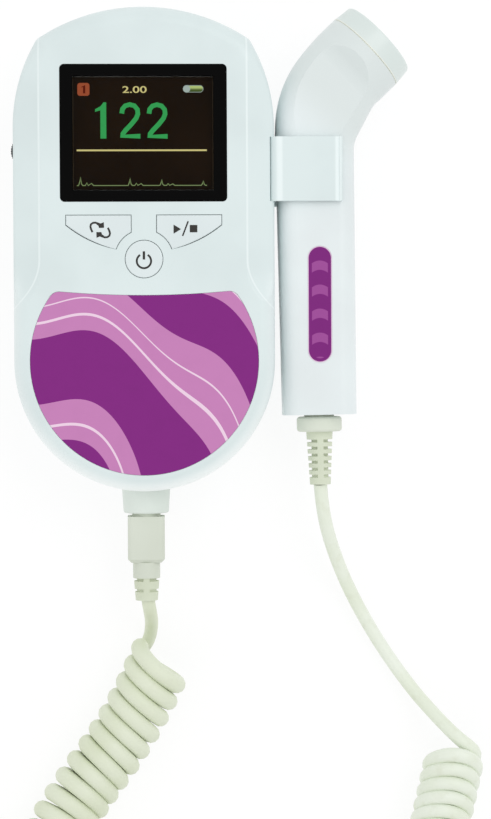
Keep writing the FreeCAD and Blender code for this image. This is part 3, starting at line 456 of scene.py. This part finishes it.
def ceramicLook():
    disc = dict(fired=tint(216, 204, 172), cloud=tint(204, 190, 156), rough=0.6, gritRough=0.2)
    look = Look("firedCeramic", IOR=1.6)
    grit = look.noise(size=0.3, detail=4)
    look.set(Base_Color=look.mix(look.patches(size=5, detail=3), disc["fired"], disc["cloud"]),
             Roughness=disc["rough"] + grit * disc["gritRough"],
             Normal=look.bump(grit, depth=0.02, strength=0.6))
    return look.material


# the half by the plug has yellowed more than the half by the probe
def cordLook():
    jacket = dict(yellowed=(tint(225, 231, 210), tint(218, 225, 199)),
                  fresh=(tint(235, 241, 228), tint(229, 236, 218)), start=5, full=55,
                  rubbedAndPaintedHighlight=tint(218, 223, 202), rub=0.5, rough=0.46, rubRough=0.14)
    look = Look("cordRubber", IOR=1.5)
    cloud = look.patches(size=16, detail=4)
    rub = look.patches(size=3.5, detail=4, low=0.5, high=0.8)
    (x,) = look.place("X")
    yellowed = look.mix(cloud, *jacket["yellowed"])
    fresh = look.mix(cloud, *jacket["fresh"])
    body = look.mix(look.soft(x, jacket["start"], jacket["full"]), yellowed, fresh)
    look.set(Base_Color=look.mix(rub * jacket["rub"], body, jacket["rubbedAndPaintedHighlight"]),
             Roughness=jacket["rough"] + rub * jacket["rubRough"],
             Normal=look.bump(look.noise(size=0.3, detail=3), depth=0.012, strength=0.6))
    return look.material


def dressNodes():
    case = skinLook("plastic", "casePlastic", *plastics["case"])
    key = skinLook("plastic", "keyPlastic", *plastics["key"], grain=0.25)
    switch = skinLook("plastic", "switchBlack", *plastics["switch"], depth=0.02)
    relief = skinLook("rubber", "reliefRubber", *rubbers["relief"])
    board = boardLook()
    finishes = dict(
        front_shell=skinLook("plastic", "frontShellPlastic", *plastics["case"], wornAndPaintedLight=casePaintedHighlights),
        rear_shell=case,
        battery_door=case,
        probe_holder=skinLook("plastic", "clipPlastic", *plastics["case"], wornAndPaintedLight=clipPaintedHighlights),
        display_window=windowLook(),
        display_module=moduleLook(),
        front_label=labelLook(),
        main_board=board,
        key_switches=switch,
        key_membrane=skinLook("rubber", "membraneRubber", *rubbers["membrane"], grain=0.6),
        mode_button=key,
        play_button=key,
        power_button=key,
        volume_control=switch,
        speaker=coneLook(),
        battery_cells=jacketLook(),
        battery_contacts=metalLook("springSteel", **metals["spring"]),
        case_screws=metalLook("screwSteel", **metals["screw"]),
        probe_socket=skinLook("plastic", "collarPlastic", *plastics["collar"], depth=0.012),
        probe_front_shell=skinLook("plastic", "probeShellPlastic", *plastics["probe"], wornAndPaintedLight=headPaintedShade),
        probe_rear_shell=skinLook("plastic", "probePlastic", *plastics["probe"]),
        probe_cap=capLook(),
        transducer_disc=ceramicLook(),
        probe_board=board,
        probe_label=pillLook(),
        probe_gland=skinLook("rubber", "glandRubber", *rubbers["gland"]),
        probe_strain_relief=relief,
        plug_shell=skinLook("plastic", "plugPlastic", *plastics["plug"], depth=0.014),
        plug_pins=metalLook("pinBrass", **metals["pin"]),
        plug_strain_relief=relief)
    for node, material in finishes.items():
        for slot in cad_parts[node].material_slots:
            slot.material = material
    print("finishes on", len(finishes), "parts")


dressNodes()


inks = dict(wear=1.2, spared=0.55, wornAndPaintedLight=0.9, faded=0.9, lit=0.3, printed=0.5, rubbedAndPaintedHighlight=0.1, shine=0.05)


# figures on the screen glow, and marks on the keys are printed
def inkLook(name, colour, glows=True):
    look = Look(name, IOR=1.45)
    wear = look.patches(inks["wear"], detail=4, low=inks["spared"], high=inks["wornAndPaintedLight"])
    shade = look.mix(wear, colour, darker(colour, inks["faded"]))
    if glows:
        look.set(Base_Color=black, Emission_Color=shade, Emission_Strength=1.0, Roughness=inks["lit"],
                 Specular_IOR_Level=inks["shine"])
    else:
        look.set(Base_Color=shade, Roughness=inks["printed"] + wear * inks["rubbedAndPaintedHighlight"])
    return look.material


# the resolution goes in before the spline, which takes it over, and the order after its points
def curveAlong(name, kind, points, swells=None, resolution=12):
    curve = bpy.data.curves.new(name, "CURVE")
    curve.dimensions = "3D"
    curve.resolution_u = resolution
    spline = curve.splines.new(kind)
    spline.points.add(len(points) - 1)
    for target, point, swell in zip(spline.points, points, swells or [1] * len(points)):
        target.co = (*point, 1)
        target.radius = swell
    if kind == "NURBS":
        spline.order_u = 3
        spline.use_endpoint_u = True
    line = bpy.data.objects.new(name, curve)
    scene.collection.objects.link(line)
    return line


def makeTube(line, radius, steps):
    line.data.bevel_depth = radius * millimetre
    line.data.bevel_resolution = steps
    line.data.use_fill_caps = True
    choose(line)
    bpy.ops.object.convert(target="MESH")


# a flat line of ink with round ends
def stroke(points, width, level, closed=False):
    line = curveAlong("stroke", "POLY", [mm(*point, 0) for point in points])
    line.data.splines[0].use_cyclic_u = closed
    makeTube(line, width / 2, 1)
    for vertex in line.data.vertices:
        vertex.co.z = level * millimetre + vertex.co.z * inkThick / width * 2
    return line


def plate(corners, level, thick=inkThick, rounding=0.0):
    deselectAll()
    bpy.ops.mesh.primitive_circle_add(vertices=len(corners), radius=millimetre, fill_type="NGON")
    piece = bpy.context.object
    for vertex, corner in zip(piece.data.vertices, corners):
        vertex.co = mm(*corner, level)
    bpy.ops.object.mode_set(mode="EDIT")
    bpy.ops.mesh.select_all(action="SELECT")
    if rounding:
        bpy.ops.mesh.bevel(offset=rounding * millimetre, segments=roundingSteps, affect="VERTICES")
    bpy.ops.mesh.select_all(action="SELECT")
    bpy.ops.mesh.extrude_region_move(TRANSFORM_OT_translate={"value": (0, 0, thick * millimetre)})
    bpy.ops.mesh.select_all(action="SELECT")
    bpy.ops.mesh.normals_make_consistent(inside=False)
    bpy.ops.object.mode_set(mode="OBJECT")
    return piece


# raised figures from Blender's own font, fitted into a box
def numeral(figures, box, level):
    lettering = dict(heavier=0.01, extrude=0.01, resolution=6, thick=0.03)
    deselectAll()
    bpy.ops.object.text_add()
    piece = bpy.context.object
    piece.data.body = figures
    piece.data.offset = lettering["heavier"]
    piece.data.extrude = lettering["extrude"]
    piece.data.resolution_u = lettering["resolution"]
    bpy.ops.object.convert(target="MESH")
    left, bottom, right, top = box
    goal = [(left, right), (bottom, top), (level, level + lettering["thick"])]
    low = [min(v.co[k] for v in piece.data.vertices) for k in range(3)]
    high = [max(v.co[k] for v in piece.data.vertices) for k in range(3)]
    for vertex in piece.data.vertices:
        shares = [(vertex.co[k] - low[k]) / (high[k] - low[k]) for k in range(3)]
        vertex.co = mm(*[start + (stop - start) * share for (start, stop), share in zip(goal, shares)])
    return piece


def joined(pieces):
    deselectAll()
    for piece in pieces:
        piece.select_set(True)
    bpy.context.view_layer.objects.active = pieces[0]
    bpy.ops.object.join()
    return pieces[0]


def arcPoints(centre, radius, start, stop, count):
    angles = [math.radians(start + (stop - start) * k / count) for k in range(count + 1)]
    return [(centre[0] + radius * math.cos(a), centre[1] + radius * math.sin(a)) for a in angles]


def ringPoints(centre, radius, count):
    return arcPoints(centre, radius, 0, 360 - 360 / count, count - 1)


# boxes are left, bottom, right and top
def boxCorners(box):
    left, bottom, right, top = box
    return [(left, bottom), (right, bottom), (right, top), (left, top)]


def placedIn(shape, box):
    left, bottom, right, top = box
    return [(left + (right - left) * x, bottom + (top - bottom) * y) for x, y in shape]


screen = dict(
    level=28.62, left=-18.2, right=17.28, green=tint(50, 152, 80), dim=tint(114, 134, 88),
    yellow=tint(200, 190, 126), orange=tint(146, 73, 45), pale=tint(156, 172, 166), brown=tint(84, 20, 6),
    one=[(0.48, 0), (1, 0), (1, 1), (0.76, 1), (0.5, 0.89), (0.02, 0.81), (0.02, 0.735), (0.48, 0.78)],
    two=[(0.11, 0.69), (0.14, 0.81), (0.27, 0.9), (0.48, 0.935), (0.7, 0.9), (0.84, 0.8), (0.86, 0.68),
         (0.78, 0.56), (0.56, 0.4), (0.28, 0.23), (0.15, 0.13), (0.12, 0.068), (0.97, 0.068)],
    weight=1.3, oneBox=(-13.2, 29.6, -10.1, 39.45),
    twoBoxes=[(-6.5, 29.55, -0.66, 39.5), (0.93, 29.5, 6.77, 39.45)],
    mode="2.00", modeBox=(-5.66, 42.0, 0.94, 43.85),
    ruleY=26.38, ruleWidth=0.46, traceY=16.8, traceWidth=0.26,
    beat=[(-0.55, 0), (-0.2, 0.45), (0, 1), (0.25, 0.2), (0.6, 0), (1.3, 0), (1.7, 0.32), (2.1, 0),
          (3.0, 0.26), (3.5, 0)],
    beats=[(-17.2, 2.3), (-3.69, 2.0), (4.96, 1.6), (16.3, 1.2)],
    badge=(-17.93, 41.23, -14.63, 44.73), margins=(1.0, 0.65, 1.15, 0.65), rounding=0.7, raised=0.03)
gauge = dict(
    box=(10.84, 42.1, 16.44, 44.1), rimShare=0.92, rimWidth=0.12, rimRaised=0.04, endStart=80, endSweep=160,
    endSteps=8, ballSides=18, chargeInset=0.2, chargeEnd=0.1, fadeStart=-0.4, fadeEnd=0.5,
    low=tint(66, 84, 38), high=tint(172, 192, 116))


def lightUp(piece, name, material):
    finishPiece(piece, name, "unit", material)


def makeScreen():
    level = screen["level"]
    green = inkLook("litGreen", screen["green"])
    yellow = inkLook("litYellow", screen["yellow"])
    figures = [plate(placedIn(screen["one"], screen["oneBox"]), level)]
    figures += [stroke(placedIn(screen["two"], box), screen["weight"], level) for box in screen["twoBoxes"]]
    lightUp(joined(figures), "screenFigures", green)
    lightUp(numeral(screen["mode"], screen["modeBox"], level), "screenModeNumber", yellow)
    ends = [(screen["left"], screen["ruleY"]), (screen["right"], screen["ruleY"])]
    lightUp(stroke(ends, screen["ruleWidth"], level), "screenRule", yellow)
    trail = [(screen["left"], screen["traceY"])]
    for place, height in screen["beats"]:
        trail += [(place + aside, screen["traceY"] + height * rise) for aside, rise in screen["beat"]]
    trail = [point for point in trail if point[0] < screen["right"]] + [(screen["right"], screen["traceY"])]
    lightUp(stroke(trail, screen["traceWidth"], level), "screenTrace", inkLook("litTrace", screen["dim"]))
    badge = plate(boxCorners(screen["badge"]), level, rounding=screen["rounding"])
    lightUp(badge, "screenBadge", inkLook("litOrange", screen["orange"]))
    left, bottom, right, top = screen["badge"]
    leftIn, bottomIn, rightIn, topIn = screen["margins"]
    inner = (left + leftIn, bottom + bottomIn, right - rightIn, top - topIn)
    number = plate(placedIn(screen["one"], inner), level + screen["raised"])
    lightUp(number, "screenBadgeNumber", inkLook("litBrown", screen["brown"]))
    print("screen lit")


# a battery sign lying on its side, with a ball at its empty end
def makeGauge():
    level = screen["level"]
    left, bottom, right, top = gauge["box"]
    middle = (bottom + top) / 2
    radius = (top - bottom) / 2
    outline = []
    for centre, turned in (((right - radius, middle), 0), ((left + radius, middle), 180)):
        start = gauge["endStart"] + turned
        stop = start - gauge["endSweep"]
        outline += arcPoints(centre, radius * gauge["rimShare"], start, stop, gauge["endSteps"])
    rim = stroke(outline, gauge["rimWidth"], level + gauge["rimRaised"], closed=True)
    ball = plate(ringPoints((left + radius, middle), radius, gauge["ballSides"]), level + screen["raised"])
    lightUp(joined([rim, ball]), "screenGaugeRim", inkLook("litPale", screen["pale"]))
    inset = gauge["chargeInset"]
    inner = (left + radius, bottom + inset, right - gauge["chargeEnd"], top - inset)
    charge = plate(boxCorners(inner), level, rounding=screen["rounding"])
    look = Look("litCharge", Emission_Strength=1.0, Base_Color=black, Specular_IOR_Level=inks["shine"],
                Roughness=inks["lit"])
    (y,) = look.place("Y")
    share = look.soft(y, middle + gauge["fadeStart"], middle + gauge["fadeEnd"])
    look.set(Emission_Color=look.mix(share, gauge["low"], gauge["high"]))
    lightUp(charge, "screenGaugeCharge", look.material)
    print("gauge lit")


marks = dict(
    level=30.255, ink=tint(30, 27, 23), line=0.55, rounding=0.12, cycle=(-11.88, 4.57),
    sweep=[(-2.09, -0.59), (-2.45, 0.15), (-2.66, 0.9), (-2.5, 1.55), (-1.96, 1.95), (-1.23, 2.0),
           (-0.5, 1.7)],
    head=[(1.0, 2.14), (1.05, 0.57), (-0.32, 0.57), (-0.5, 1.22), (-1.05, 1.55), (-1.0, 2.1),
          (-0.5, 2.02), (0.14, 1.76)],
    play=[(8.08, 3.5), (10.1, 4.75), (8.08, 6.0)], slash=[(10.54, 2.9), (12.08, 6.9)], slashWidth=0.42,
    stop=(12.5, 3.87, 14.57, 5.87), power=(-0.03, -3.9), powerRadius=1.95, powerStart=122, powerEnd=418,
    powerSteps=36, bar=[(-0.03, -3.5), (-0.03, -1.25)], barWidth=0.66)


def makeMarks():
    level, line, rounding = marks["level"], marks["line"], marks["rounding"]
    ink = inkLook("keyInk", marks["ink"], glows=False)
    x, y = marks["cycle"]
    pieces = []
    for side in (1, -1):
        sweep = [(x + aside * side, y + along * side) for aside, along in marks["sweep"]]
        head = [(x + aside * side, y + along * side) for aside, along in marks["head"]]
        pieces += [stroke(sweep, line, level), plate(head, level, rounding=rounding)]
    finishPiece(joined(pieces), "modeMark", "mode_key", ink)
    pieces = [plate(marks["play"], level, rounding=rounding),
              stroke(marks["slash"], marks["slashWidth"], level),
              plate(boxCorners(marks["stop"]), level, rounding=rounding)]
    finishPiece(joined(pieces), "playMark", "play_key", ink)
    arc = arcPoints(marks["power"], marks["powerRadius"], marks["powerStart"], marks["powerEnd"],
                    marks["powerSteps"])
    pieces = [stroke(arc, line, level), stroke(marks["bar"], marks["barWidth"], level)]
    finishPiece(joined(pieces), "powerMark", "power_key", ink)
    print("key marks printed")


makeScreen()
makeGauge()
makeMarks()


wheel = dict(x=-32.3, y=27.4, low=13.7, high=16.3, radius=4.78, dip=0.12, teeth=44, toothPoints=4, bore=1.25,
             boreSides=32, boreBelow=1, boreLength=5, edge=0.08, edgeSteps=2, sharp=60)


# each tooth has four points, two high and two low
def makeWheel():
    count = wheel["teeth"] * wheel["toothPoints"]
    corners = []
    for k in range(count):
        angle = math.pi + 2 * math.pi * (k - 0.5) / count
        radius = wheel["radius"] - wheel["dip"] * (k % wheel["toothPoints"] >= wheel["toothPoints"] / 2)
        corners.append((wheel["x"] + radius * math.cos(angle), wheel["y"] + radius * math.sin(angle)))
    boreRing = ringPoints((wheel["x"], wheel["y"]), wheel["bore"], wheel["boreSides"])
    cutter = plate(boreRing, wheel["low"] - wheel["boreBelow"], wheel["boreLength"])
    piece = plate(corners, wheel["low"], wheel["high"] - wheel["low"])
    choose(piece)
    bore = piece.modifiers.new("bore", "BOOLEAN")
    bore.object = cutter
    bpy.ops.object.modifier_apply(modifier="bore")
    rim = piece.modifiers.new("rim", "BEVEL")
    rim.width = wheel["edge"] * millimetre
    rim.segments = wheel["edgeSteps"]
    rim.angle_limit = math.radians(wheel["sharp"])
    bpy.ops.object.modifier_apply(modifier="rim")
    bpy.data.objects.remove(cutter)
    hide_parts("volume_wheel")
    finishPiece(piece, "volumeWheel", "volume", wheelLook())
    print("wheel cut", len(piece.data.polygons), "faces")


makeWheel()


# the curly cord is wound in two halves, which meet at the end of leftRoute
cord = dict(
    radius=2.1, leadSwell=0.9, perTurn=14, tubeSides=16, tubeSteps=4, routeSteps=24, startAngle=-10,
    plugLead=[(0.3, -97.2, 14.7), (0.5, -99.3, 14.2), (1.0, -102.3, 10.6), (1.3, -105.9, 4.8),
              (0.6, -110.6, 2.1), (-2.2, -114.3, 2.5)],
    leftRoute=[(3.7, -116, 9.2), (-3.4, -132.4, 9.2), (-22, -157, 9.2), (-33, -178, 9.2), (-24, -207, 9.2),
               (0, -222, 9.2), (28, -222, 9.2)],
    rightRoute=[(28, -222, 9.2), (50, -222, 9.2), (70, -207, 9.2), (80.5, -176, 9.2), (87.3, -143.6, 9.2)],
    probeLead=[(48.78, -65.75, 16.5), (49.4, -73.5, 15.3), (52.6, -84.6, 9.0), (58, -97.5, 3.9),
               (66.4, -112.4, 1.95), (75.2, -124.9, 3.2), (81.4, -131.9, 8.3), (86.9, -137.4, 13.0)],
    left=dict(turns=29.5, slant=(0.216, -0.6), lean=(0.1, -1.2), radius=7.1, swell=1.18, drawnIn=0.0),
    right=dict(turns=27.653, slant=(-0.16, -0.16), lean=(0.7, 0.7), radius=6.7, swell=0.98, drawnIn=0.22),
    drawnPoints=7, joinShare=0.35, joinStep=0.2, joinRadius=6.9, joinSwell=1.08,
    plugPieces=["plug_shell", "plug_pins", "plug_strain_relief"])


def splinePoints(points, resolution):
    route = curveAlong("route", "NURBS", points, resolution=resolution)
    bpy.context.view_layer.update()
    mesh = bpy.data.meshes.new_from_object(route)
    read = [vertex.co.copy() for vertex in mesh.vertices]
    bpy.data.objects.remove(route)
    bpy.data.meshes.remove(mesh)
    return read


def alongRoute(points, share):
    lengths = [0]
    for first, second in zip(points, points[1:]):
        lengths.append(lengths[-1] + (second - first).length)
    want = share * lengths[-1]
    index = 0
    while index < len(lengths) - 2 and lengths[index + 1] < want:
        index += 1
    first, second = points[index], points[index + 1]
    step = (want - lengths[index]) / (lengths[index + 1] - lengths[index])
    return first.lerp(second, step), (second - first).normalized()


# the turns round a route; at joinAt, its start or end, they take the size of the other half's
def turnsAround(route, side, startAngle, joinAt):
    read = splinePoints([mm(*point) for point in route], cord["routeSteps"])
    controls, swells = [], []
    count = round(side["turns"] * cord["perTurn"])
    for k in sorted([*range(count + 1), abs(joinAt * count - cord["joinStep"])]):
        share = k / count
        centre, ahead = alongRoute(read, share)
        aside = Vector((ahead.y, -ahead.x, 0))
        angle = math.radians(startAngle) + 2 * math.pi * side["turns"] * share
        far = min(1, abs(share - joinAt) / cord["joinShare"])
        slant, lean = [first * (1 - share) + last * share for first, last in (side["slant"], side["lean"])]
        shift = far * (lean * math.sin(angle) - slant * math.cos(angle))
        offset = aside * math.cos(angle) + Vector((0, 0, math.sin(angle))) + ahead * shift
        inward = side["drawnIn"] * max(0, 1 - (count - k) / cord["drawnPoints"])
        radius = (cord["joinRadius"] + (side["radius"] - cord["joinRadius"]) * far) * (1 - inward)
        controls.append(centre + offset * radius * millimetre)
        swells.append(cord["joinSwell"] + (side["swell"] - cord["joinSwell"]) * far)
    return controls, swells


def cordTube(name, lead, controls, swells):
    points = [mm(*point) for point in lead] + controls
    swells = [cord["leadSwell"]] * len(lead) + swells
    path = splinePoints(points, cord["tubeSteps"])
    tube = curveAlong(name, "NURBS", points, swells, cord["tubeSteps"])
    makeTube(tube, cord["radius"], cord["tubeSides"] // 4)
    bpy.ops.object.shade_smooth()
    print(name, len(tube.data.polygons), "faces")
    return tube, path


def pathLength(path):
    return sum((second - first).length for first, second in zip(path, path[1:]))


def makeCords():
    skin = cordLook()
    coil, swells = turnsAround(cord["leftRoute"], cord["left"], cord["startAngle"], 1)
    left, leftPath = cordTube("curlyCordLeft", cord["plugLead"], coil, swells)
    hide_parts("cord_plug_lead", "cord_coil_left")
    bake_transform(left)
    round(pathLength(leftPath), 3)
    phase = cord["startAngle"] + 360 * cord["left"]["turns"]
    coil, swells = turnsAround(cord["rightRoute"], cord["right"], phase, 0)
    right, rightPath = cordTube("curlyCordRight", cord["probeLead"], coil[::-1], swells[::-1])
    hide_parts("cord_coil_right", "cord_probe_lead")
    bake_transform(right)
    round(pathLength(rightPath), 3)
    for tube in (left, right):
        tube.data.materials.append(skin)
    print("cords made", round(pathLength(leftPath), 3), round(pathLength(rightPath), 3))


makeCords()


# metres here; ownLight is the share of the table that is lit from within and takes no shadow
studio = dict(
    floorSize=6, paper=(0.97, 0.97, 0.97, 1), fibre=(0.95, 0.95, 0.95, 1), paperRough=0.9, ownLight=0.8,
    tableStrength=1.025, worldStrength=0.8,
    softbox=dict(power=3.9, size=0.9, place=(0.6, 0.5, 1.2)),
    fillBox=dict(power=1.6, size=1.4, place=(-0.7, -0.4, 1.1)))


def makeFloor():
    deselectAll()
    bpy.ops.mesh.primitive_plane_add(size=studio["floorSize"], location=(0, 0, 0))
    floor = bpy.context.object
    floor.name = "floor"
    look = Look("floorPaper", Roughness=studio["paperRough"])
    fibre = look.patches(size=1.5, detail=3, low=0.3, high=0.7)
    look.set(Base_Color=look.mix(fibre, studio["paper"], studio["fibre"]))
    lit = look.node("ShaderNodeEmission", inputs={"Strength": studio["tableStrength"]})
    paper = Signal(look, look.shader.outputs[0])
    blend = look.node("ShaderNodeMixShader", inputs={0: studio["ownLight"], 1: paper, 2: lit})
    look.feed(look.tree.nodes["Material Output"].inputs["Surface"], blend)
    floor.data.materials.append(look.material)


# what the camera sees, also in or through a surface, is white
def makeWorld():
    world = bpy.data.worlds.new("world")
    scene.world = world
    world.use_nodes = True
    net = Net(world.node_tree)
    kinds = ("Is Camera Ray", "Is Glossy Ray", "Is Transmission Ray")
    direct, glossy, through = net.outputs(net.node("ShaderNodeLightPath"), kinds)
    seen = net.maths("MINIMUM", direct + glossy + through, 1.0)
    background = net.tree.nodes["Background"]
    net.feed(background.inputs["Strength"], studio["worldStrength"])
    net.feed(background.inputs["Color"], white)
    plain = net.node("ShaderNodeBackground", inputs={"Color": white})
    blend = net.node("ShaderNodeMixShader", inputs={0: seen, 1: Signal(net, background.outputs[0]), 2: plain})
    net.feed(net.tree.nodes["World Output"].inputs["Surface"], blend)


def makeLamp(name):
    lampData = bpy.data.lights.new(name, "AREA")
    lampData.energy = studio[name]["power"]
    lampData.size = studio[name]["size"]
    lamp = bpy.data.objects.new(name, lampData)
    scene.collection.objects.link(lamp)
    lamp.location = studio[name]["place"]
    lamp.rotation_euler = (-Vector(studio[name]["place"])).to_track_quat("-Z", "Y").to_euler()


makeFloor()
makeWorld()
makeLamp("softbox")
makeLamp("fillBox")
print("studio made")
